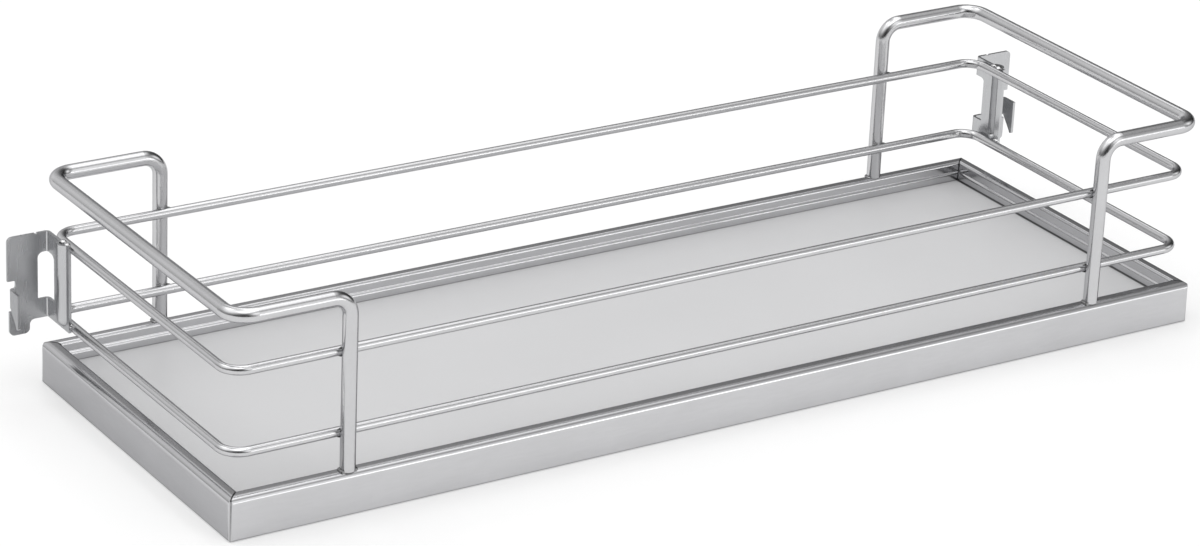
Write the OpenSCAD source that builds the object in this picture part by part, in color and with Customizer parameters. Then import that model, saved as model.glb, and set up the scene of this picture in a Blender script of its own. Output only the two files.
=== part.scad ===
/* [Tray] */
// Length of the tray over its rim
tray_length = 467; // [320:1:900]
// Width of the tray over its rim
tray_width = 166; // [120:1:400]

/* [Rim] */
// Height of the rim from the underside to its top face
rim_height = 18.5; // [17:0.1:24]
// Width of the rim's top face
rim_top = 6.3; // [5.6:0.1:9]
// Thickness of the rim's sheet
rim_sheet = 0.8; // [0.6:0.1:1]
// Inside radius of the rim's bends
rim_bend = 0.6; // [0.4:0.1:0.8]
// Height of the inner wall, from the top face to the step
wall_drop = 4; // [3:0.1:4.6]
// How far the foot of the inner wall steps in over the board
foot_step = 1; // [0.4:0.1:1.4]
// Width of the lip folded in under the board
lip_width = 9; // [6:0.5:14]
// Radius of the rim's upright outer corners
corner_radius = 1.8; // [0.6:0.1:2]
// Open gap of each mitre inside the outer wall
mitre_gap = 0.3; // [0.1:0.1:0.8]
// Leg of the weld inside each corner of the rim
corner_weld = 2.2; // [1.5:0.1:3]

/* [Board] */
// Thickness of the base board
board_thickness = 9.4; // [8:0.1:10]
// Clearance between the board's edge and the rim
board_gap = 0.4; // [0.2:0.1:1]
// Corner radius of the base board
board_radius = 5; // [4:0.5:12]

/* [End rails] */
// Diameter of the rail wire
rail_d = 6.2; // [5:0.1:7]
// Height of the tray over the end rails
rail_height = 94.7; // [86:0.1:160]
// Distance from the tray's end to the legs
leg_inset = 52.6; // [36:0.1:90]
// Bend radius over each leg, on the wire's centre line
leg_bend = 8; // [6:0.5:12]
// Bend radius of the rail's corners, on the wire's centre line
rail_corner = 9; // [6:0.5:12]
// Size of the weld at the foot of each leg
foot_weld = 1; // [0.5:0.1:1.5]

/* [Wire loops] */
// Diameter of the loop wire
wire_d = 4; // [3:0.1:4.6]
// Height of the lower loop's centre line
lower_wire = 33.5; // [30:0.1:38]
// Height of the upper loop's centre line
upper_wire = 67.6; // [62:0.1:74]
// Corner radius of the loops, on the wire's centre line
wire_corner = 8.5; // [6:0.5:10]
// Distance from the tray's end to the loop's centre line
wire_inset = 3.2; // [2.4:0.1:6]
// How deep the welded wires are pressed into the legs
set_down = 1.2; // [0.4:0.1:1.6]

/* [Hook brackets] */
// Thickness of the bracket's sheet
hook_sheet = 1.2; // [1:0.1:1.4]
// Inside radius of the bracket's folds
hook_bend = 0.8; // [0.6:0.1:1]
// How far the hook plate reaches beyond the flange
plate_reach = 17.6; // [15:0.1:24]
// Height of the bracket's top edge above the upper wire's centre line
hook_rise = 1.9; // [0.5:0.1:3]
// Distance from the tray's side to the front face of the hook plate
plate_inset = 7.2; // [5:0.1:8]
// Length of the flange along the wires
flange_length = 19.5; // [18:0.1:26]
// How far the flange ends below the lower wire's centre line
flange_below = 1.3; // [0.5:0.1:3]
// Height of the lower tab below the flange's bottom edge
tab_drop = 5.7; // [4:0.1:8]
// Width of the lower tab
tab_width = 8.8; // [7:0.1:10]
// Step between the plate's outer edge and the lower tab's
edge_step = 0.8; // [0:0.1:1.2]
// Corner radius of the plate and the tab
hook_corner = 2.2; // [1:0.1:3]

/* [Hook tongue] */
// Distance from the bracket's top edge to the notch
notch_top = 19; // [14:0.1:22]
// Height of the notch above the tongue
notch_height = 3.5; // [2.5:0.1:5]
// Depth of the notch
notch_depth = 3.6; // [3.2:0.1:5]
// Radius of the notch's inner corners
notch_radius = 1; // [0.4:0.1:1.2]
// Height of the tongue's root
root_height = 8; // [6:0.1:9]
// How far the tongue's tip hangs below its root
tip_drop = 7.2; // [4:0.1:8]
// How far the tongue stands out of the plate
tongue_reach = 7.6; // [4.5:0.1:8]
// Width of the tongue at its tip
tip_width = 1.7; // [1.2:0.1:3]
// Height of the relief cut under the root
relief_height = 2; // [1.2:0.1:2.4]

/* [Window and bead] */
// Distance from the bracket's top edge to the window
window_top = 8.6; // [6:0.1:12]
// Height of the window
window_height = 20.4; // [14:0.1:22]
// Width of the window in the hook plate
window_plate = 4.3; // [3:0.1:6]
// Width of the window in the flange
window_flange = 6.1; // [4:0.1:7]
// Radius of the window's upper corners
window_radius = 2.4; // [1:0.1:2.8]
// Outside radius of the pressed bead
bead_radius = 3.6; // [3:0.1:3.8]
// Distance from the flange's front edge to the bead's centre line
bead_inset = 5.4; // [4.4:0.1:6]
// Radius of the weld spots on the bracket
spot_radius = 1.2; // [0.8:0.1:1.5]

/* [Hidden] */
$fn = 64;
// Small overrun of a cut past the face that it opens
cut = 1;
arc_steps = 8;
silver = [0.74, 0.74, 0.75];
zinc = [0.66, 0.67, 0.68];
weld_grey = [0.6, 0.6, 0.62];
board_grey = [0.8, 0.8, 0.81];

half_length = tray_length / 2;
half_width = tray_width / 2;
board_top = rim_sheet + board_thickness;
rail_z = rail_height - rail_d / 2;
rail_x = half_length - rail_d / 2;
rail_y = half_width - rail_d / 2;
leg_x = half_length - leg_inset;
wire_x = half_length - wire_inset;
wire_y = rail_y - rail_d / 2 - wire_d / 2 + set_down;

// The bracket is drawn at the right end: flange along Y, hook plate along X
flange_x = wire_x + wire_d / 2;
plate_x = flange_x + hook_sheet + plate_reach;
tab_x = plate_x - edge_step;
plate_y = half_width - plate_inset;
flange_y = plate_y - flange_length;
hook_top = upper_wire + hook_rise;
flange_bottom = lower_wire - flange_below;
tab_bottom = flange_bottom - tab_drop;
tongue_top = hook_top - notch_top - notch_height;
root_bottom = tongue_top - root_height;
tongue_tip = root_bottom - tip_drop;
root_x = tab_x - 2 * hook_sheet - hook_bend;
bead_y = flange_y + bead_inset;
bead_bottom = flange_bottom + bead_radius + hook_sheet;
nick_radius = hook_sheet / 2;
spot_rise = 0.4 * wire_d;

function unit(v) = v / norm(v);
function left_of(v) = [-v.y, v.x];
function along(angle, r) = r * [cos(angle), sin(angle)];
function arc(centre, r, from, to) =
    [for (i = [0 : arc_steps]) centre + along(from + (to - from) * i / arc_steps, r)];
function turn(a, b) = atan2(a.x * b.y - a.y * b.x, a * b);

// How much of a straight run each bend of the strip takes up
function trim(points, i, r) =
    i == 0 || i == len(points) - 1 ? 0
    : r * tan(abs(turn(points[i] - points[i - 1], points[i + 1] - points[i])) / 2);

// Edge view of a sheet bent along its centre line, with round bends
module strip(points, thick, inside) {
    r = inside + thick / 2;
    for (i = [0 : len(points) - 2]) {
        run = points[i + 1] - points[i];
        first = trim(points, i, r);
        last = trim(points, i + 1, r);
        translate(points[i] + first * unit(run))
            rotate(atan2(run.y, run.x))
                translate([0, -thick / 2])
                    square([norm(run) - first - last, thick]);
    }
    for (i = [1 : len(points) - 2])
        bend(points[i - 1], points[i], points[i + 1], thick, r);
}

module bend(a, b, c, thick, r) {
    way = unit(b - a);
    angle = turn(b - a, c - b);
    side = sign(angle) * left_of(way);
    centre = b - r * tan(abs(angle) / 2) * way + r * side;
    start = atan2(-side.y, -side.x);
    far = 2 * (r + thick);
    translate(centre)
        intersection() {
            difference() {
                circle(r + thick / 2);
                circle(r - thick / 2);
            }
            polygon([[0, 0], along(start, far), along(start + angle / 2, 2 * far),
                     along(start + angle, far)]);
        }
}

module round_plate(length, width, r) {
    square([length - 2 * r, width], center = true);
    square([length, width - 2 * r], center = true);
    for (x = [-1, 1], y = [-1, 1])
        translate([x * (length / 2 - r), y * (width / 2 - r)])
            circle(r);
}

// Section of the rim, from its outer face inwards and from the underside up
module rim_section() {
    mid = rim_sheet / 2;
    wall = rim_top - mid;
    strip([[lip_width, mid], [mid, mid], [mid, rim_height - mid], [wall, rim_height - mid],
           [wall, rim_height - wall_drop]], rim_sheet, rim_bend);
    rim_foot(wall);
}

// The inner wall's foot: it steps in over the board in two bends and stands on it
module rim_foot(wall) {
    mid = rim_sheet / 2;
    r = rim_bend + mid;
    angle = acos(1 - foot_step / 2 / r);
    upper = [wall + r, rim_height - wall_drop];
    lower = [wall + foot_step - r, upper.y - 2 * r * sin(angle)];
    polygon(concat(arc(upper, r + mid, 180, 180 + angle), arc(lower, r - mid, angle, 0),
                   [[wall + foot_step - mid, board_top], [wall + foot_step + mid, board_top]],
                   arc(lower, r + mid, 0, angle), arc(upper, r - mid, 180 + angle, 180)));
}

// Outline of one rim length from above: the outer walls meet, the rest keeps the mitre gap
module mitre_field(run, across) {
    deep = lip_width + cut;
    gap = mitre_gap / sqrt(2);
    half = run / 2;
    outer = -across / 2;
    intersection() {
        round_plate(run, across, corner_radius);
        polygon([[-half, outer], [-half + rim_sheet, outer + rim_sheet],
                 [-half + rim_sheet + gap, outer + rim_sheet], [-half + deep + gap, outer + deep],
                 [half - deep - gap, outer + deep], [half - rim_sheet - gap, outer + rim_sheet],
                 [half - rim_sheet, outer + rim_sheet], [half, outer]]);
    }
}

module rim_length(run, across) {
    color(silver)
        intersection() {
            translate([-run / 2, -across / 2, 0])
                rotate([90, 0, 90])
                    linear_extrude(run)
                        rim_section();
            linear_extrude(rim_height)
                mitre_field(run, across);
        }
}

module front_rim() {
    rim_length(tray_length, tray_width);
}

module rear_rim() {
    rotate(180)
        rim_length(tray_length, tray_width);
}

module left_rim() {
    rotate(-90)
        rim_length(tray_width, tray_length);
}

module right_rim() {
    rotate(90)
        rim_length(tray_width, tray_length);
}

// A fillet weld up the inside of each corner, between the two outer walls
module corner_welds() {
    low = rim_sheet + rim_bend;
    color(weld_grey)
        for (x = [0, 1], y = [0, 1])
            mirror([x, 0, 0])
                mirror([0, y, 0])
                    translate([rim_sheet - half_length, rim_sheet - half_width, low])
                        linear_extrude(rim_height - 2 * low)
                            difference() {
                                square(corner_weld);
                                translate([corner_weld, corner_weld])
                                    circle(corner_weld);
                            }
}

module base_board() {
    edge = rim_sheet + board_gap;
    color(board_grey)
        translate([0, 0, rim_sheet])
            linear_extrude(board_thickness)
                round_plate(tray_length - 2 * edge, tray_width - 2 * edge, board_radius);
}

// A straight rod from a point, along the X, Y or Z axis
module rod(start, axis, length, d) {
    turned = axis == "x" ? [0, 90, 0] : axis == "y" ? [-90, 0, 0] : [0, 0, 0];
    translate(start)
        rotate(turned)
            cylinder(h = length, d = d);
}

// A quarter bend of a rod about the Z axis, from +X round to +Y
module quarter(r, d) {
    rotate_extrude(angle = 90)
        translate([r, 0])
            circle(d = d);
}

// One leg with its bend and the top run as far as the corner
module rail_half() {
    rod([leg_x, -rail_y, rim_height], "z", rail_z - leg_bend - rim_height, rail_d);
    translate([leg_x + leg_bend, -rail_y, rail_z - leg_bend])
        rotate([90, 0, 180])
            mirror([0, 0, 1])
                quarter(leg_bend, rail_d);
    rod([leg_x + leg_bend, -rail_y, rail_z], "x", rail_x - rail_corner - leg_x - leg_bend, rail_d);
    translate([rail_x - rail_corner, rail_corner - rail_y, rail_z])
        rotate(-90)
            quarter(rail_corner, rail_d);
}

// Right end rail, with the seats that the loop wires are pressed into
module end_rail() {
    color(silver)
        difference() {
            union() {
                for (y = [0, 1])
                    mirror([0, y, 0])
                        rail_half();
                rod([rail_x, rail_corner - rail_y, rail_z], "y", 2 * (rail_y - rail_corner), rail_d);
            }
            for (side = [-1, 1], z = [lower_wire, upper_wire])
                rod([leg_x - rail_d, side * wire_y, z], "x", 2 * rail_d, wire_d);
        }
}

module right_end_rail() {
    end_rail();
}

module left_end_rail() {
    mirror([1, 0, 0])
        end_rail();
}

// Welds on the rim's top face, on both sides of each leg
module foot_welds() {
    flat = rim_sheet + rim_bend;
    color(weld_grey)
        for (y = [0, 1])
            mirror([0, y, 0])
                translate([leg_x, -rail_y, rim_height])
                    intersection() {
                        rotate_extrude()
                            translate([rail_d / 2, 0])
                                difference() {
                                    square(foot_weld);
                                    translate([foot_weld, foot_weld])
                                        circle(foot_weld);
                                }
                        translate([-rail_d, rail_y - half_width + flat, 0])
                            cube([2 * rail_d, rim_top - 2 * flat, foot_weld]);
                    }
}

module right_foot_welds() {
    foot_welds();
}

module left_foot_welds() {
    mirror([1, 0, 0])
        foot_welds();
}

module wire_loop(z) {
    run_x = wire_x - wire_corner;
    run_y = wire_y - wire_corner;
    color(silver)
        for (x = [0, 1])
            mirror([x, 0, 0]) {
                rod([wire_x, -run_y, z], "y", 2 * run_y, wire_d);
                for (y = [0, 1])
                    mirror([0, y, 0]) {
                        rod([0, wire_y, z], "x", run_x, wire_d);
                        translate([run_x, run_y, z])
                            quarter(wire_corner, wire_d);
                    }
            }
}

module lower_wire_loop() {
    wire_loop(lower_wire);
}

module upper_wire_loop() {
    wire_loop(upper_wire);
}

// Outline of the hook plate and the flange, seen along the tray's width
module plate_outline() {
    tab_in = tab_x - tab_width;
    fold = hook_sheet + hook_bend;
    difference() {
        union() {
            translate([flange_x - bead_radius, flange_bottom])
                square([plate_x - flange_x + bead_radius, hook_top - flange_bottom]);
            translate([tab_in, tab_bottom])
                square([tab_width, flange_bottom - tab_bottom]);
            translate([tab_in, flange_bottom])
                rotate(180)
                    corner_cut(hook_corner);
        }
        translate([plate_x, hook_top])
            rotate(180)
                corner_cut(hook_corner);
        for (x = [0, 1])
            translate([tab_in + x * tab_width, tab_bottom])
                rotate(90 * x)
                    corner_cut(hook_corner);
        translate([tab_x, flange_bottom - cut])
            square([edge_step + cut, root_bottom - flange_bottom + cut]);
        translate([plate_x - notch_depth, tongue_top])
            notch();
        translate([root_x, root_bottom])
            square([plate_x - root_x + cut, root_height]);
        translate([tab_x - fold, root_bottom - relief_height / 2])
            circle(relief_height / 2);
        translate([tab_x - fold, root_bottom - relief_height])
            square([fold + edge_step + cut, relief_height]);
        translate([flange_x + window_plate + hook_sheet + nick_radius, hook_top])
            circle(nick_radius);
    }
}

// The notch above the tongue, with round inner corners
module notch() {
    difference() {
        square([notch_depth + cut, notch_height]);
        for (y = [0, 1])
            translate([0, y * notch_height])
                rotate(-90 * y)
                    corner_cut(notch_radius);
    }
}

// What a round corner takes off a square one, with the corner at the origin
module corner_cut(r) {
    difference() {
        translate([-cut, -cut])
            square(r + cut);
        translate([r, r])
            circle(r);
    }
}

// A window with one upper corner rounded, open towards the fold
module window_shape(width, back) {
    difference() {
        translate([-back, 0])
            square([width + back, window_height]);
        translate([width, window_height])
            rotate(180)
                corner_cut(window_radius);
    }
}

module window_cut() {
    bottom = hook_top - window_top - window_height;
    fold = hook_sheet + hook_bend;
    translate([flange_x + hook_sheet, plate_y + hook_sheet + cut, bottom])
        rotate([90, 0, 0])
            linear_extrude(fold + 2 * cut)
                window_shape(window_plate, hook_sheet + cut);
    translate([flange_x + fold + cut, plate_y, bottom])
        rotate([90, 0, -90])
            linear_extrude(fold + 2 * cut)
                window_shape(window_flange, hook_sheet + cut);
}

// The bead's outer or inner form: open at the top, with a round end at the bottom
module bead_form(r, top) {
    translate([flange_x, bead_y, bead_bottom])
        rotate_extrude() {
            square([r, top - bead_bottom]);
            intersection() {
                circle(r);
                translate([0, -r])
                    square(r);
            }
        }
}

// The tongue's outline, seen from the tray's end
module tongue_outline() {
    front = plate_y - tongue_reach;
    tip = tip_width / 2;
    translate([front, root_bottom])
        square([tongue_reach + hook_sheet, root_height]);
    polygon([[front, root_bottom], [plate_y - hook_bend, root_bottom],
             [front + tip_width, tongue_tip + tip], [front, tongue_tip + tip]]);
    translate([front + tip, tongue_tip + tip])
        circle(tip);
}

module tongue() {
    mid = hook_sheet / 2;
    intersection() {
        translate([0, 0, tongue_tip])
            linear_extrude(tongue_top - tongue_tip)
                strip([[root_x, plate_y + mid], [tab_x - mid, plate_y + mid],
                       [tab_x - mid, plate_y - tongue_reach]], hook_sheet, hook_bend);
        translate([root_x, 0, 0])
            rotate([90, 0, 90])
                linear_extrude(tab_x - root_x)
                    tongue_outline();
    }
}

// Right bracket: a folded sheet with a window across its fold, a pressed bead in its
// flange and a tongue bent out of its hook plate
module hook_bracket() {
    mid = hook_sheet / 2;
    color(zinc) {
        difference() {
            union() {
                intersection() {
                    translate([0, 0, tab_bottom])
                        linear_extrude(hook_top - tab_bottom)
                            strip([[flange_x + mid, flange_y], [flange_x + mid, plate_y + mid],
                                   [plate_x, plate_y + mid]], hook_sheet, hook_bend);
                    translate([0, plate_y + 2 * hook_sheet, 0])
                        rotate([90, 0, 0])
                            linear_extrude(flange_length + 4 * hook_sheet)
                                plate_outline();
                }
                intersection() {
                    bead_form(bead_radius, hook_top);
                    translate([flange_x, flange_y, flange_bottom])
                        cube([2 * bead_radius, flange_length, hook_top - flange_bottom]);
                }
                tongue();
            }
            bead_form(bead_radius - hook_sheet, hook_top + cut);
            window_cut();
        }
    }
}

module right_hook_bracket() {
    hook_bracket();
}

module left_hook_bracket() {
    mirror([1, 0, 0])
        hook_bracket();
}

// A weld spot in the corner between the flange and the wire below it
module weld_spot(y, z) {
    difference() {
        translate([flange_x, y, z + spot_rise])
            sphere(spot_radius);
        rod([wire_x, y - 2 * spot_radius, z], "y", 4 * spot_radius, wire_d);
        difference() {
            translate([flange_x, flange_y - cut, flange_bottom])
                cube([2 * spot_radius, flange_length, hook_top - flange_bottom]);
            bead_form(bead_radius - hook_sheet, hook_top + cut);
        }
    }
}

// Two spots in the bead's hollow on the upper wire, one at the flange's edge on the lower wire
module bracket_welds() {
    reach = bead_radius - hook_sheet - spot_radius / 2;
    color(weld_grey) {
        for (side = [-1, 1])
            weld_spot(bead_y + side * reach, upper_wire);
        weld_spot(flange_y + spot_radius, lower_wire);
    }
}

module right_bracket_welds() {
    bracket_welds();
}

module left_bracket_welds() {
    mirror([1, 0, 0])
        bracket_welds();
}

front_rim();
rear_rim();
left_rim();
right_rim();
corner_welds();
base_board();
left_end_rail();
right_end_rail();
left_foot_welds();
right_foot_welds();
lower_wire_loop();
upper_wire_loop();
left_hook_bracket();
right_hook_bracket();
left_bracket_welds();
right_bracket_welds();
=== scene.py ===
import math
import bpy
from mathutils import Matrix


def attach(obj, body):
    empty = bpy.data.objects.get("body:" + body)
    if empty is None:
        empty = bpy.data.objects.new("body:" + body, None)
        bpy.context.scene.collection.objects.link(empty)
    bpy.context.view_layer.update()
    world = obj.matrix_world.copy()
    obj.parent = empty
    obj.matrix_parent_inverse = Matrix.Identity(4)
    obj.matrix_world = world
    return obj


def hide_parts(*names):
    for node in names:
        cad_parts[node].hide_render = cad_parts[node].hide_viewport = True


bl_info = {
    "name": "Hook-in Tray Dresser",
    "version": (1, 0, 0),
    "blender": (4, 5, 0),
    "location": "3D View > Sidebar > Tray",
    "description": "Finishes, weld beads and studio for a hook-in wire tray of a pantry frame",
    "category": "Object",
}

import bpy
from mathutils import Matrix, Vector

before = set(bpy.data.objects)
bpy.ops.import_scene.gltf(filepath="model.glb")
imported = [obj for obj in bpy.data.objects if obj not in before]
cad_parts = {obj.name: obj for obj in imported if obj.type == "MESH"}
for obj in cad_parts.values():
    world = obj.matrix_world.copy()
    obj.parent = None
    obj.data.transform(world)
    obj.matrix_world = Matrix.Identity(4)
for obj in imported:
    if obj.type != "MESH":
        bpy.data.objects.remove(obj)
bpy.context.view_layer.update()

MM = 0.001
RIM_NODES = ("front_rim", "rear_rim", "left_rim", "right_rim")
WIRE_NODES = ("lower_wire_loop", "upper_wire_loop", "left_end_rail", "right_end_rail")
BRACKET_NODES = ("left_hook_bracket", "right_hook_bracket")
# Which way each side of the tray lies along X
SIDES = {"left": -1, "right": 1}


# Places and sizes from the part's source

HALF_LENGTH = 233.5 * MM
HALF_WIDTH = 83.0 * MM
RIM_HEIGHT = 18.5 * MM
# Outside radius of the rim's bends
SOLID_BEND = 1.4 * MM
# Inner face of the rim's foot, where the board comes into sight
FOOT_X = 226.2 * MM
FOOT_Y = 75.7 * MM
# Centre line of the right rear leg, and the radius of its wire
LEG_X = 180.9 * MM
LEG_Y = 79.9 * MM
RAIL_RADIUS = 3.1 * MM
LOOP_RADIUS = 2.0 * MM
LOOP_HEIGHTS = (33.5 * MM, 67.6 * MM)
# The inner face of the right bracket's flange, and the Y and Z of the welds on it
FLANGE_X = 232.3 * MM
SPOT_PLACES = ((59.9 * MM, 67.6 * MM), (63.5 * MM, 67.6 * MM), (57.5 * MM, 33.5 * MM))


# The rim's top as the real sheet has it: a wider outer bend and a slight fall inwards

EDGE_BEND = 3.0 * MM
# How near a mitre a vertex is moved along with it
CORNER_ZONE = 2.0 * MM
TOP_SLOPE = math.radians(3)
# What is closer than this counts as the same place
TINY = 0.001 * MM
SHEET_SMOOTHING = math.radians(35)


# Weld beads: how each kind is pressed, the width of its ripples and their height as a share of
# the unevenness, and the factor on its colour that paints shade or a highlight

# The strip of the rim's top that the foot beads stay on
STRIP_INNER_Y = 77.9 * MM
STRIP_OUTER_Y = 81.9 * MM
FOOT_BEAD_SQUASH = (1, 1, 0.8)
FOOT_FILL_SQUASH = (0.97, 0.97, 0.38)
FOOT_RIPPLE = 1.1 * MM
# Painted shade: the foot beads' colour darkened for the shadow in the crevice round each foot
FOOT_PAINTED_SHADE = 0.5
# How far behind the leg's inner face the bead at a crossing lies
CROSSING_DEPTH = 0.45 * MM
CROSSING_SQUASH = (2.0, 1, 0.82)
CROSSING_RIPPLE = 0.9 * MM
CROSSING_UNEVENNESS = 0.5
# Painted shade: the crossing beads' colour darkened for the shadow in the crevice beside each leg
CROSSING_PAINTED_SHADE = 0.35
# How far a spot on a bracket lies above the wire's centre line
SPOT_RISE = 1.5 * MM
SPOT_SQUASH = (0.95, 1.15, 0.75)
SPOT_RIPPLE = 1.2 * MM
SPOT_UNEVENNESS = 1.4
# Painted highlight: the bracket spots' colour lightened for their glint
SPOT_PAINTED_HIGHLIGHT = 1.25
BEAD_SMOOTHING = math.radians(50)


# Textures: the scale and the detail of the noise, and how much it changes. That is a share for
# a tone or the gloss, and a height in metres for a bump

METAL_CLOUDS = (45.0, 3.0, 0.02)
METAL_FLECKS = (900.0, 2.0, 0.015)
METAL_GLOSS = (160.0, 3.0, 0.06)
METAL_PEEL = (260.0, 2.0, 3e-6)
METAL_GRAIN = (1300.0, 1.0, 4e-7)
BOARD_MOTTLE = (14.0, 4.0, 0.015)
BOARD_SPECKS = (2200.0, 2.0, 0.01)
BOARD_GLOSS = (900.0, 2.0, 0.04)
BOARD_PEARL = (1500.0, 2.0, 2e-6)
# Nearly all of a noise texture's values are in this range
NOISE_RANGE = (0.3, 0.7)
# How strong the grain is, where it differs from the wires', and how far it is drawn out
CORNER_WELD_GRAIN = 1.6
BRACKET_GRAIN = 1.3
BEAD_GRAIN = 1.8
RIM_STRETCH = 0.15
BRACKET_STRETCH = 0.2


# Dark joints of the mitres, and painted shade in the crease where the board meets the rim: their
# tones, and the distances between which they fade out

MITRE_TOP_TONE = 0.15
MITRE_WALL_TONE = 0.7
MITRE_FADE = (0.2 * MM, 0.6 * MM)
# From the tone on the top to the tone on the walls, as depths below the top
MITRE_DEPTHS = (1.2 * MM, 2.2 * MM)
# Painted shade in the crease along the rim's foot on the board: nearly black at the ends, lighter
# along the sides
END_CREASE_PAINTED_SHADE = 0.06
END_CREASE_SHADE_FADE = (0.6 * MM, 1.1 * MM)
SIDE_CREASE_PAINTED_SHADE = 0.4
SIDE_CREASE_SHADE_FADE = (0.2 * MM, 0.6 * MM)


# The studio's large soft lights: the direction of each one's middle in degrees, as azimuth from
# +Y towards +X and elevation, how many degrees from there its brightness has halved, and the
# brightness of its middle, 1 is white

LIGHTS = {
    "left high": (282, 51, 26, 1.49),
    "front left high": (211, 69, 13, 2.9),
    "front right high": (120, 73, 13, 2.7),
    "back high": (46, 64, 11, 2.5),
    "back left high": (328, 60, 8, 2.3),
    "back": (24, 43, 6, 2.1),
    "back low": (356, 11, 30, 1.06),
    "front": (162, 32, 15, 1.67),
    "front low": (149, 2, 9, 3.5),
    "right": (111, 23, 12, 1.6),
}
# The camera's sensor in millimetres, and the nearest and farthest it sees in metres
SENSOR_WIDTH = 36.0
CLIP_START = 0.05
CLIP_END = 60.0


# Properties


class TrayFinishSettings(bpy.types.PropertyGroup):
    """Colours and gloss of the tray's materials"""

    silver: bpy.props.FloatVectorProperty(
        name="Silver", description="Colour of the satin silver coating",
        subtype="COLOR", size=3, min=0, max=1, default=(0.60, 0.60, 0.61))
    silver_roughness: bpy.props.FloatProperty(
        name="Silver Roughness", description="Roughness of the silver coating",
        subtype="FACTOR", min=0, max=1, default=0.22)
    wire_edge: bpy.props.FloatVectorProperty(
        name="Wire Edge", description="Tint of the wires' reflection at a glancing angle",
        subtype="COLOR", size=3, min=0, max=1, default=(0.52, 0.52, 0.53))
    rim_silver: bpy.props.FloatVectorProperty(
        name="Rim Silver", description="Colour of the rim's silver coating",
        subtype="COLOR", size=3, min=0, max=1, default=(0.59, 0.59, 0.602))
    rim_roughness: bpy.props.FloatProperty(
        name="Rim Roughness", description="Roughness of the rim's coating",
        subtype="FACTOR", min=0, max=1, default=0.17)
    silver_edge: bpy.props.FloatVectorProperty(
        name="Silver Edge",
        description="Tint of the reflection at a glancing angle on the rim, brackets and welds",
        subtype="COLOR", size=3, min=0, max=1, default=(0.30, 0.30, 0.31))
    zinc: bpy.props.FloatVectorProperty(
        name="Zinc", description="Colour of the brackets' zinc plating",
        subtype="COLOR", size=3, min=0, max=1, default=(0.54, 0.545, 0.555))
    zinc_roughness: bpy.props.FloatProperty(
        name="Zinc Roughness", description="Roughness of the zinc plating",
        subtype="FACTOR", min=0, max=1, default=0.27)
    weld: bpy.props.FloatVectorProperty(
        name="Weld", description="Colour of the coated weld metal",
        subtype="COLOR", size=3, min=0, max=1, default=(0.57, 0.57, 0.575))
    weld_roughness: bpy.props.FloatProperty(
        name="Weld Roughness", description="Roughness of the weld metal",
        subtype="FACTOR", min=0, max=1, default=0.22)
    board: bpy.props.FloatVectorProperty(
        name="Board", description="Colour of the board's light grey face",
        subtype="COLOR", size=3, min=0, max=1, default=(0.64, 0.64, 0.648))
    board_roughness: bpy.props.FloatProperty(
        name="Board Roughness", description="Roughness of the board's face",
        subtype="FACTOR", min=0, max=1, default=0.3)


class TrayWeldSettings(bpy.types.PropertyGroup):
    """Sizes of the weld beads"""

    foot_bead: bpy.props.FloatProperty(
        name="Foot Bead", description="How far the bead round each leg's foot stands out",
        unit="LENGTH", min=0.0005, max=0.0015, default=0.0009)
    crossing_bead: bpy.props.FloatProperty(
        name="Crossing Bead", description="Thickness of the bead where a wire meets a leg",
        unit="LENGTH", min=0.0003, max=0.001, default=0.0008)
    spot_radius: bpy.props.FloatProperty(
        name="Spot Radius", description="Radius of the weld spots on the brackets",
        unit="LENGTH", min=0.0006, max=0.0016, default=0.0014)
    unevenness: bpy.props.FloatProperty(
        name="Unevenness", description="Height of the ripples in the weld beads",
        unit="LENGTH", min=0, max=0.0005, default=0.00022)


class TrayStageSettings(bpy.types.PropertyGroup):
    """Floor, lights and camera"""

    floor_size: bpy.props.FloatProperty(
        name="Floor Size", description="Side of the floor",
        unit="LENGTH", min=2, max=60, default=24.0)
    floor_tone: bpy.props.FloatProperty(
        name="Floor Tone", description="Grey of the floor, 1 is white",
        subtype="FACTOR", min=0, max=1, default=0.62)
    floor_lift: bpy.props.FloatProperty(
        name="Floor Lift", description="White added to the floor where it is seen or mirrored",
        min=0, max=1, default=0.36)
    light_level: bpy.props.FloatProperty(
        name="Light Level", description="Brightness of all the lights together",
        min=0.1, max=3, default=1.0)
    camera_place: bpy.props.FloatVectorProperty(
        name="Camera Place", description="Where the camera stands",
        subtype="XYZ", unit="LENGTH", size=3, default=(-0.92526, -1.39422, 0.74551))
    camera_azimuth: bpy.props.FloatProperty(
        name="Camera Azimuth", description="Heading of the camera, from +Y towards +X",
        subtype="ANGLE", default=math.radians(33.081))
    camera_pitch: bpy.props.FloatProperty(
        name="Camera Pitch", description="How far the camera looks down",
        subtype="ANGLE", default=math.radians(23.009))
    camera_roll: bpy.props.FloatProperty(
        name="Camera Roll", description="Turn of the camera about its line of sight",
        subtype="ANGLE", default=math.radians(2.585))
    camera_lens: bpy.props.FloatProperty(
        name="Camera Lens", description="Focal length for a 36 mm wide picture",
        min=20, max=300, default=130.28)


# Nodes of the materials


def empty_material(name):
    """A new material with only a Principled shader, and its node tree."""
    mat = bpy.data.materials.new(name)
    mat.use_nodes = True
    tree = mat.node_tree
    tree.nodes.clear()
    output = tree.nodes.new("ShaderNodeOutputMaterial")
    shader = tree.nodes.new("ShaderNodeBsdfPrincipled")
    tree.links.new(shader.outputs["BSDF"], output.inputs["Surface"])
    return mat, tree, shader


def object_place(tree, scale=(1, 1, 1)):
    """The point on the object, with each axis scaled."""
    place = tree.nodes.new("ShaderNodeTexCoord")
    mapping = tree.nodes.new("ShaderNodeMapping")
    mapping.inputs["Scale"].default_value = scale
    tree.links.new(place.outputs["Object"], mapping.inputs["Vector"])
    return mapping.outputs["Vector"]


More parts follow.
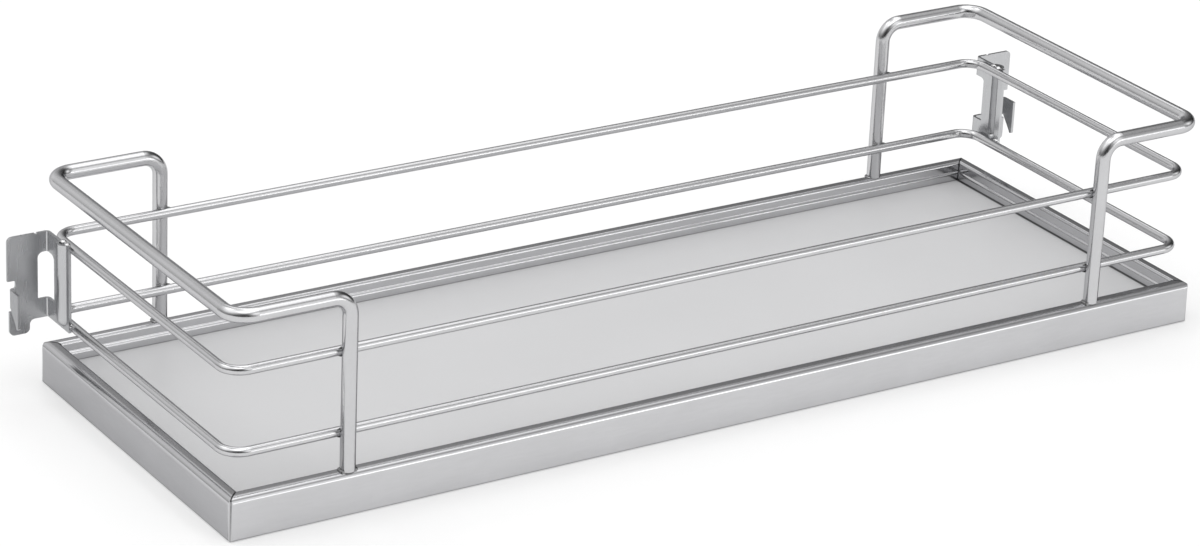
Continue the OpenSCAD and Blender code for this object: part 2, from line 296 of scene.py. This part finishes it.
def inside_of(tree, x_face, y_face):
    """How far a point is inside the faces at both ends of X and of Y, and its height."""
    parts = tree.nodes.new("ShaderNodeSeparateXYZ")
    tree.links.new(object_place(tree), parts.inputs["Vector"])
    from_x = calculated(tree, "SUBTRACT", x_face, calculated(tree, "ABSOLUTE", parts.outputs["X"]))
    from_y = calculated(tree, "SUBTRACT", y_face, calculated(tree, "ABSOLUTE", parts.outputs["Y"]))
    return from_x, from_y, parts.outputs["Z"]


def calculated(tree, operation, *values):
    """A calculation with sockets and plain numbers."""
    node = tree.nodes.new("ShaderNodeMath")
    node.operation = operation
    for socket, value in zip(node.inputs, values):
        if isinstance(value, bpy.types.NodeSocket):
            tree.links.new(value, socket)
        else:
            socket.default_value = value
    return node.outputs["Value"]


def noise(tree, place, scale, detail):
    """A noise texture's value at a place."""
    node = tree.nodes.new("ShaderNodeTexNoise")
    node.inputs["Scale"].default_value = scale
    node.inputs["Detail"].default_value = detail
    tree.links.new(place, node.inputs["Vector"])
    return node.outputs["Fac"]


def spread(tree, value, low, high, source=NOISE_RANGE):
    """Maps a value from its source range to the range from low to high."""
    node = tree.nodes.new("ShaderNodeMapRange")
    node.inputs["From Min"].default_value = source[0]
    node.inputs["From Max"].default_value = source[1]
    node.inputs["To Min"].default_value = low
    node.inputs["To Max"].default_value = high
    tree.links.new(value, node.inputs["Value"])
    return node.outputs["Result"]


def varied(tree, place, texture, middle=1.0, strength=1.0):
    """A value that a texture moves up and down from its middle."""
    scale, detail, share = texture
    change = share * strength
    return spread(tree, noise(tree, place, scale, detail),
                  middle * (1 - change), middle * (1 + change))


def tinted(tree, colour, factor):
    """The colour times a factor that varies over the surface."""
    node = tree.nodes.new("ShaderNodeVectorMath")
    node.operation = "SCALE"
    node.inputs[0].default_value = colour
    tree.links.new(factor, node.inputs["Scale"])
    return node.outputs["Vector"]


def raised(tree, height, distance, below=None):
    """A bump from a height, on top of another bump if there is one."""
    node = tree.nodes.new("ShaderNodeBump")
    node.inputs["Distance"].default_value = distance
    tree.links.new(height, node.inputs["Height"])
    if below is not None:
        tree.links.new(below, node.inputs["Normal"])
    return node.outputs["Normal"]


def roughened(tree, place, texture, strength=1.0, below=None):
    """A bump from a texture, on top of another bump if there is one."""
    scale, detail, height = texture
    return raised(tree, noise(tree, place, scale, detail), height * strength, below)


# Materials


def coated_metal(name, colour, roughness, edge, stretch=(1, 1, 1), grain=1.0, relief=None):
    """Satin metal: cloudy tone, fine grain, uneven gloss and a slight orange peel.

    The edge is the tint at a glancing angle. The stretch draws the grain out along the axis
    where it is small. The relief is a function that gives a form's height and its shade.
    """
    mat, tree, shader = empty_material(name)
    place = object_place(tree)
    long_place = object_place(tree, stretch)
    cloud = varied(tree, place, METAL_CLOUDS)
    fleck = varied(tree, long_place, METAL_FLECKS, strength=grain)
    tone = calculated(tree, "MULTIPLY", cloud, fleck)
    form = None
    if relief is not None:
        height, shade = relief(tree)
        tone = calculated(tree, "MULTIPLY", tone, shade)
        form = raised(tree, height, 1.0)
    tree.links.new(tinted(tree, colour, tone), shader.inputs["Base Color"])
    gloss = varied(tree, long_place, METAL_GLOSS, roughness)
    tree.links.new(gloss, shader.inputs["Roughness"])
    peel = roughened(tree, place, METAL_PEEL, grain, form)
    grained = roughened(tree, long_place, METAL_GRAIN, grain, peel)
    tree.links.new(grained, shader.inputs["Normal"])
    shader.inputs["Metallic"].default_value = 1.0
    shader.inputs["Specular Tint"].default_value = (*edge, 1)
    return mat


def rim_relief(tree, along_x):
    """The top face's slight fall inwards, and the dark seams of the mitres."""
    from_x, from_y, height = inside_of(tree, HALF_LENGTH, HALF_WIDTH)
    from_side = from_y if along_x else from_x
    fall = calculated(tree, "MULTIPLY", from_side, -math.tan(TOP_SLOPE))
    beside = calculated(tree, "ABSOLUTE", calculated(tree, "SUBTRACT", from_x, from_y))
    seam = spread(tree, beside, MITRE_TOP_TONE, 1, MITRE_FADE)
    depth = calculated(tree, "SUBTRACT", RIM_HEIGHT, height)
    lower = spread(tree, depth, 0, MITRE_WALL_TONE, MITRE_DEPTHS)
    return fall, calculated(tree, "MAXIMUM", seam, lower)


def weld_material(finish, name, tone):
    """Weld metal whose colour is scaled: painted shade in a tight joint, a painted highlight on a
    drop.
    """
    colour = [part * tone for part in finish.weld]
    return coated_metal(name + "_silver", colour, finish.weld_roughness, finish.silver_edge,
                        grain=BEAD_GRAIN)


def board_face(name, colour, roughness):
    """Light grey melamine: faint mottling, a fine pearl texture and painted shade in the crease at
    the rim.
    """
    mat, tree, shader = empty_material(name)
    place = object_place(tree)
    mottle = varied(tree, place, BOARD_MOTTLE)
    speck = varied(tree, place, BOARD_SPECKS)
    # Painted shade: the board's colour darkened along the crease at the rim's foot
    from_x, from_y, _ = inside_of(tree, FOOT_X, FOOT_Y)
    crease_shade = calculated(tree, "MULTIPLY", spread(tree, from_x, END_CREASE_PAINTED_SHADE, 1, END_CREASE_SHADE_FADE),
                     spread(tree, from_y, SIDE_CREASE_PAINTED_SHADE, 1, SIDE_CREASE_SHADE_FADE))
    tone = calculated(tree, "MULTIPLY", calculated(tree, "MULTIPLY", mottle, speck), crease_shade)
    tree.links.new(tinted(tree, colour, tone), shader.inputs["Base Color"])
    gloss = varied(tree, place, BOARD_GLOSS, roughness)
    tree.links.new(gloss, shader.inputs["Roughness"])
    tree.links.new(roughened(tree, place, BOARD_PEARL), shader.inputs["Normal"])
    shader.inputs["Specular IOR Level"].default_value = 0.4
    return mat


def dress(node, mat):
    """Gives a CAD node its material."""
    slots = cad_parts[node].material_slots
    if not slots:
        raise RuntimeError(f"the CAD node {node} has no material slot")
    for slot in slots:
        slot.material = mat


# Modelling helpers


def select_only(*objects):
    """Selects these objects and makes the first one active."""
    bpy.ops.object.select_all(action="DESELECT")
    for obj in objects:
        obj.select_set(True)
    bpy.context.view_layer.objects.active = objects[0]


def apply_modifier(obj, kind, **settings):
    """Adds a modifier with these settings and applies it."""
    select_only(obj)
    modifier = obj.modifiers.new(kind.title(), kind)
    for name, value in settings.items():
        setattr(modifier, name, value)
    bpy.ops.object.modifier_apply(modifier=modifier.name)


def pressed(size):
    """Presses the new primitive to its size and puts its place into its mesh."""
    obj = bpy.context.active_object
    obj.scale = size
    bpy.ops.object.transform_apply(location=True, rotation=True, scale=True)
    return obj


def ring(place, major, minor, squash, turn=(0, 0, 0)):
    """A ring of weld metal: a torus that is pressed to its shape."""
    bpy.ops.object.select_all(action="DESELECT")
    bpy.ops.mesh.primitive_torus_add(
        major_radius=major, minor_radius=minor, major_segments=72, minor_segments=16,
        location=place, rotation=turn)
    return pressed(squash)


def blob(place, radius, squash):
    """A drop of weld metal: a ball that is pressed flat."""
    bpy.ops.object.select_all(action="DESELECT")
    bpy.ops.mesh.primitive_ico_sphere_add(subdivisions=4, radius=radius, location=place)
    return pressed(squash)


def kept_inside(obj, middle, size):
    """Keeps what lies inside a block, and closes the cuts."""
    bpy.ops.object.select_all(action="DESELECT")
    bpy.ops.mesh.primitive_cube_add(size=1, location=middle)
    block = pressed(size)
    apply_modifier(obj, "BOOLEAN", operation="INTERSECT", solver="EXACT", object=block)
    select_only(block)
    bpy.ops.object.delete()


def ripple(obj, depth, size):
    """Small uneven ripples over a weld bead."""
    texture = bpy.data.textures.new(obj.name + "_ripple", "CLOUDS")
    texture.noise_scale = size
    texture.noise_depth = 1
    apply_modifier(obj, "DISPLACE", texture=texture, texture_coords="GLOBAL", strength=depth,
                   mid_level=0.5)
    bpy.data.textures.remove(texture)


def joined(objects):
    """Joins the objects into the first one."""
    select_only(*objects)
    bpy.ops.object.join()
    return bpy.context.view_layer.objects.active


def settle(obj, name, mat, *replaced):
    """Smooths a finished bead, names it and hands it to the frame."""
    select_only(obj)
    bpy.ops.object.shade_smooth_by_angle(angle=BEAD_SMOOTHING)
    obj.name = obj.data.name = name
    obj.data.materials.clear()
    obj.data.materials.append(mat)
    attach(obj, "root")
    if replaced:
        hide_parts(*replaced)


def widely_bent(node, along_x):
    """A copy of a rim length whose outer top edge is bent as wide as the real sheet."""
    piece = bpy.data.objects.new(node + "_sheet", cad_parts[node].data.copy())
    bpy.context.collection.objects.link(piece)
    select_only(piece)
    bpy.ops.object.mode_set(mode="EDIT")
    bpy.ops.mesh.select_all(action="SELECT")
    bpy.ops.mesh.remove_doubles(threshold=TINY)
    bpy.ops.object.mode_set(mode="OBJECT")
    bpy.ops.mesh.customdata_custom_splitnormals_clear()
    widen_bend(piece.data.vertices, along_x)
    bpy.ops.object.shade_smooth_by_angle(angle=SHEET_SMOOTHING)
    apply_modifier(piece, "WEIGHTED_NORMAL", weight=100, keep_sharp=True)
    return piece


def widen_bend(vertices, along_x):
    """Moves the outer top bend's vertices from the solid's radius out to the real one."""
    side, end = (1, 0) if along_x else (0, 1)
    half = (HALF_LENGTH, HALF_WIDTH)
    wider = EDGE_BEND - SOLID_BEND
    for vertex in vertices:
        from_side = half[side] - abs(vertex.co[side])
        from_end = half[end] - abs(vertex.co[end])
        # The vertex as seen from the middle of the bend
        across = SOLID_BEND - from_side
        up = SOLID_BEND - (RIM_HEIGHT - vertex.co.z)
        reach = math.hypot(across, up)
        if min(across, up) < -TINY or reach < TINY:
            continue
        inwards = wider * (1 - across / reach)
        vertex.co[side] -= math.copysign(inwards, vertex.co[side])
        vertex.co.z -= wider * (1 - up / reach)
        if abs(from_end - from_side) < CORNER_ZONE:
            vertex.co[end] -= math.copysign(inwards, vertex.co[end])


# The stage


def add_floor(stage):
    """A plain pale floor: white where the camera sees it, with the object's shadow on it."""
    bpy.ops.object.select_all(action="DESELECT")
    bpy.ops.mesh.primitive_plane_add(size=stage.floor_size, location=(0, 0, 0))
    floor = bpy.context.active_object
    floor.name = floor.data.name = "floor"
    mat, tree, shader = empty_material("floor_white")
    tone = stage.floor_tone
    shader.inputs["Base Color"].default_value = (tone, tone, tone, 1)
    shader.inputs["Roughness"].default_value = 1.0
    shader.inputs["Specular IOR Level"].default_value = 0.0
    shader.inputs["Emission Color"].default_value = (1, 1, 1, 1)
    lift = calculated(tree, "MULTIPLY", seen_or_mirrored(tree), stage.floor_lift)
    tree.links.new(lift, shader.inputs["Emission Strength"])
    floor.data.materials.append(mat)


def seen_or_mirrored(tree):
    """1 for a ray from the camera, or one that a glossy or clear surface sends on."""
    path = tree.nodes.new("ShaderNodeLightPath")
    value = path.outputs["Is Camera Ray"]
    for kind in ("Is Glossy Ray", "Is Transmission Ray"):
        value = calculated(tree, "MAXIMUM", value, path.outputs[kind])
    return value


def add_room(scene, stage):
    """A dark room lit by large soft lights round the tray."""
    world = bpy.data.worlds.new("room")
    world.use_nodes = True
    tree = world.node_tree
    tree.nodes.clear()
    output = tree.nodes.new("ShaderNodeOutputWorld")
    background = tree.nodes.new("ShaderNodeBackground")
    place = tree.nodes.new("ShaderNodeTexCoord").outputs["Generated"]
    total = None
    for name in LIGHTS:
        glow = soft_light(tree, place, name, stage.light_level)
        total = glow if total is None else calculated(tree, "ADD", total, glow)
    tree.links.new(total, background.inputs["Color"])
    tree.links.new(background.outputs["Background"], output.inputs["Surface"])
    scene.world = world


def soft_light(tree, place, name, level):
    """A light in the distance that fades out from its middle to its rim.

    The logarithm of its brightness falls with the cosine of the angle from its middle.
    """
    *angles, brightness = LIGHTS[name]
    azimuth, elevation, half_width = (math.radians(angle) for angle in angles)
    facing = tree.nodes.new("ShaderNodeVectorMath")
    facing.label = name
    facing.operation = "DOT_PRODUCT"
    facing.inputs[1].default_value = (
        math.sin(azimuth) * math.cos(elevation), math.cos(azimuth) * math.cos(elevation),
        math.sin(elevation))
    tree.links.new(place, facing.inputs[0])
    sharpness = math.log(2) / (1 - math.cos(half_width))
    middle = math.log(brightness * level)
    falloff = calculated(tree, "MULTIPLY_ADD", facing.outputs["Value"], sharpness,
                         middle - sharpness)
    return calculated(tree, "EXPONENT", falloff)


def add_camera(scene, stage):
    """The camera at the photo's angle."""
    data = bpy.data.cameras.new("camera")
    data.sensor_width = SENSOR_WIDTH
    data.lens = stage.camera_lens
    data.clip_start = CLIP_START
    data.clip_end = CLIP_END
    camera = bpy.data.objects.new("camera", data)
    scene.collection.objects.link(camera)
    azimuth, pitch = stage.camera_azimuth, stage.camera_pitch
    ahead = Vector((math.sin(azimuth) * math.cos(pitch), math.cos(azimuth) * math.cos(pitch),
                    -math.sin(pitch)))
    level = Vector((math.cos(azimuth), -math.sin(azimuth), 0))
    right = Matrix.Rotation(-stage.camera_roll, 3, ahead) @ level
    up = right.cross(ahead)
    turn = Matrix((right, up, -ahead)).transposed()
    camera.matrix_world = Matrix.Translation(stage.camera_place) @ turn.to_4x4()
    scene.camera = camera


# Operators


class TRAY_OT_finish_rim(bpy.types.Operator):
    """Bends the rim's outer top edge to its full width and coats the rim and its corner welds"""

    bl_idname = "tray.finish_rim"
    bl_label = "Finish Rim"

    def execute(self, context):
        finish = context.scene.tray_finish
        for node in RIM_NODES:
            along_x = node in ("front_rim", "rear_rim")
            stretch = (RIM_STRETCH, 1, 1) if along_x else (1, RIM_STRETCH, 1)
            mat = coated_metal(
                node + "_silver", finish.rim_silver, finish.rim_roughness, finish.silver_edge,
                stretch, relief=lambda tree: rim_relief(tree, along_x))
            piece = widely_bent(node, along_x)
            piece.data.materials.clear()
            piece.data.materials.append(mat)
            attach(piece, "root")
            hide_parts(node)
        dress("corner_welds", coated_metal("corner_weld_silver", finish.weld, finish.weld_roughness,
                                           finish.silver_edge, grain=CORNER_WELD_GRAIN))
        return {"FINISHED"}


class TRAY_OT_finish_wires(bpy.types.Operator):
    """Gives the wire loops and the end rails their satin silver coating"""

    bl_idname = "tray.finish_wires"
    bl_label = "Finish Wires"

    def execute(self, context):
        finish = context.scene.tray_finish
        silver = coated_metal("wire_silver", finish.silver, finish.silver_roughness,
                              finish.wire_edge)
        for node in WIRE_NODES:
            dress(node, silver)
        return {"FINISHED"}


class TRAY_OT_finish_brackets(bpy.types.Operator):
    """Gives the hook brackets their zinc plating"""

    bl_idname = "tray.finish_brackets"
    bl_label = "Finish Brackets"

    def execute(self, context):
        finish = context.scene.tray_finish
        zinc = coated_metal("bracket_zinc", finish.zinc, finish.zinc_roughness,
                            finish.silver_edge, (1, 1, BRACKET_STRETCH), BRACKET_GRAIN)
        for node in BRACKET_NODES:
            dress(node, zinc)
        return {"FINISHED"}


class TRAY_OT_finish_board(bpy.types.Operator):
    """Gives the base board its light grey face"""

    bl_idname = "tray.finish_board"
    bl_label = "Finish Board"

    def execute(self, context):
        finish = context.scene.tray_finish
        dress("base_board", board_face("board_grey", finish.board, finish.board_roughness))
        return {"FINISHED"}


class TRAY_OT_add_foot_welds(bpy.types.Operator):
    """Models the weld beads beside the legs' feet and the metal under them, on the rim's top"""

    bl_idname = "tray.add_foot_welds"
    bl_label = "Add Foot Welds"

    def execute(self, context):
        welds = context.scene.tray_weld
        # The beads' colour is darkened as painted shade
        mat = weld_material(context.scene.tray_finish, "foot_weld", FOOT_PAINTED_SHADE)
        strip_middle = (STRIP_INNER_Y + STRIP_OUTER_Y) / 2
        strip_size = (4 * RAIL_RADIUS, STRIP_OUTER_Y - STRIP_INNER_Y, RAIL_RADIUS)
        for name, side in SIDES.items():
            beads = []
            for edge in (-1, 1):
                foot = Vector((side * LEG_X, edge * LEG_Y, RIM_HEIGHT))
                bead = ring(foot, RAIL_RADIUS, welds.foot_bead, FOOT_BEAD_SQUASH)
                ripple(bead, welds.unevenness, FOOT_RIPPLE)
                kept_inside(bead, (foot.x, edge * strip_middle, foot.z), strip_size)
                fill = blob(foot, RAIL_RADIUS, FOOT_FILL_SQUASH)
                ripple(fill, welds.unevenness, FOOT_RIPPLE)
                beads += [bead, fill]
            settle(joined(beads), name + "_foot_beads", mat, name + "_foot_welds")
        return {"FINISHED"}


class TRAY_OT_add_crossing_welds(bpy.types.Operator):
    """Models the metal squeezed out where the loop wires are pressed into the legs"""

    bl_idname = "tray.add_crossing_welds"
    bl_label = "Add Crossing Welds"

    def execute(self, context):
        welds = context.scene.tray_weld
        # The beads' colour is darkened as painted shade
        mat = weld_material(context.scene.tray_finish, "crossing_weld", CROSSING_PAINTED_SHADE)
        contact = LEG_Y - RAIL_RADIUS + CROSSING_DEPTH
        for name, side in SIDES.items():
            beads = []
            for edge in (-1, 1):
                for height in LOOP_HEIGHTS:
                    place = Vector((side * LEG_X, edge * contact, height))
                    bead = ring(place, LOOP_RADIUS, welds.crossing_bead / 2, CROSSING_SQUASH,
                                turn=(math.pi / 2, 0, 0))
                    ripple(bead, welds.unevenness * CROSSING_UNEVENNESS, CROSSING_RIPPLE)
                    beads.append(bead)
            settle(joined(beads), name + "_crossing_beads", mat)
        return {"FINISHED"}


class TRAY_OT_add_bracket_welds(bpy.types.Operator):
    """Models the weld spots that hold the brackets to the wires"""

    bl_idname = "tray.add_bracket_welds"
    bl_label = "Add Bracket Welds"

    def execute(self, context):
        welds = context.scene.tray_weld
        # The spots' colour is lightened as a painted highlight
        mat = weld_material(context.scene.tray_finish, "bracket_weld", SPOT_PAINTED_HIGHLIGHT)
        for name, side in SIDES.items():
            spots = []
            for along, height in SPOT_PLACES:
                place = Vector((side * FLANGE_X, along, height + SPOT_RISE))
                spot = blob(place, welds.spot_radius, SPOT_SQUASH)
                ripple(spot, welds.unevenness * SPOT_UNEVENNESS, SPOT_RIPPLE)
                spots.append(spot)
            settle(joined(spots), name + "_bracket_spots", mat, name + "_bracket_welds")
        return {"FINISHED"}


class TRAY_OT_add_stage(bpy.types.Operator):
    """Sets up the floor, the room with its lights, and the camera"""

    bl_idname = "tray.add_stage"
    bl_label = "Add Stage"

    def execute(self, context):
        stage = context.scene.tray_stage
        add_floor(stage)
        add_room(context.scene, stage)
        add_camera(context.scene, stage)
        return {"FINISHED"}


# Panel


class TRAY_PT_dresser(bpy.types.Panel):
    """Tools that dress the tray"""

    bl_label = "Tray Dresser"
    bl_idname = "TRAY_PT_dresser"
    bl_space_type = "VIEW_3D"
    bl_region_type = "UI"
    bl_category = "Tray"

    def draw(self, context):
        scene = context.scene
        for settings in (scene.tray_finish, scene.tray_weld, scene.tray_stage):
            box = self.layout.box()
            for name in settings.__annotations__:
                box.prop(settings, name)
        for operator in OPERATORS:
            self.layout.operator(operator.bl_idname)


SETTINGS = {
    "tray_finish": TrayFinishSettings,
    "tray_weld": TrayWeldSettings,
    "tray_stage": TrayStageSettings,
}
OPERATORS = (
    TRAY_OT_finish_rim,
    TRAY_OT_finish_wires,
    TRAY_OT_finish_brackets,
    TRAY_OT_finish_board,
    TRAY_OT_add_foot_welds,
    TRAY_OT_add_crossing_welds,
    TRAY_OT_add_bracket_welds,
    TRAY_OT_add_stage,
)


def register():
    for name, settings in SETTINGS.items():
        bpy.utils.register_class(settings)
        setattr(bpy.types.Scene, name, bpy.props.PointerProperty(type=settings))
    for operator in OPERATORS:
        bpy.utils.register_class(operator)
    bpy.utils.register_class(TRAY_PT_dresser)


def unregister():
    bpy.utils.unregister_class(TRAY_PT_dresser)
    for operator in reversed(OPERATORS):
        bpy.utils.unregister_class(operator)
    for name, settings in SETTINGS.items():
        delattr(bpy.types.Scene, name)
        bpy.utils.unregister_class(settings)


def main():
    register()
    bpy.context.scene.view_settings.view_transform = "Standard"
    bpy.ops.tray.finish_rim()
    bpy.ops.tray.finish_wires()
    bpy.ops.tray.finish_brackets()
    bpy.ops.tray.finish_board()
    bpy.ops.tray.add_foot_welds()
    bpy.ops.tray.add_crossing_welds()
    bpy.ops.tray.add_bracket_welds()
    bpy.ops.tray.add_stage()


if __name__ == "__main__":
    main()
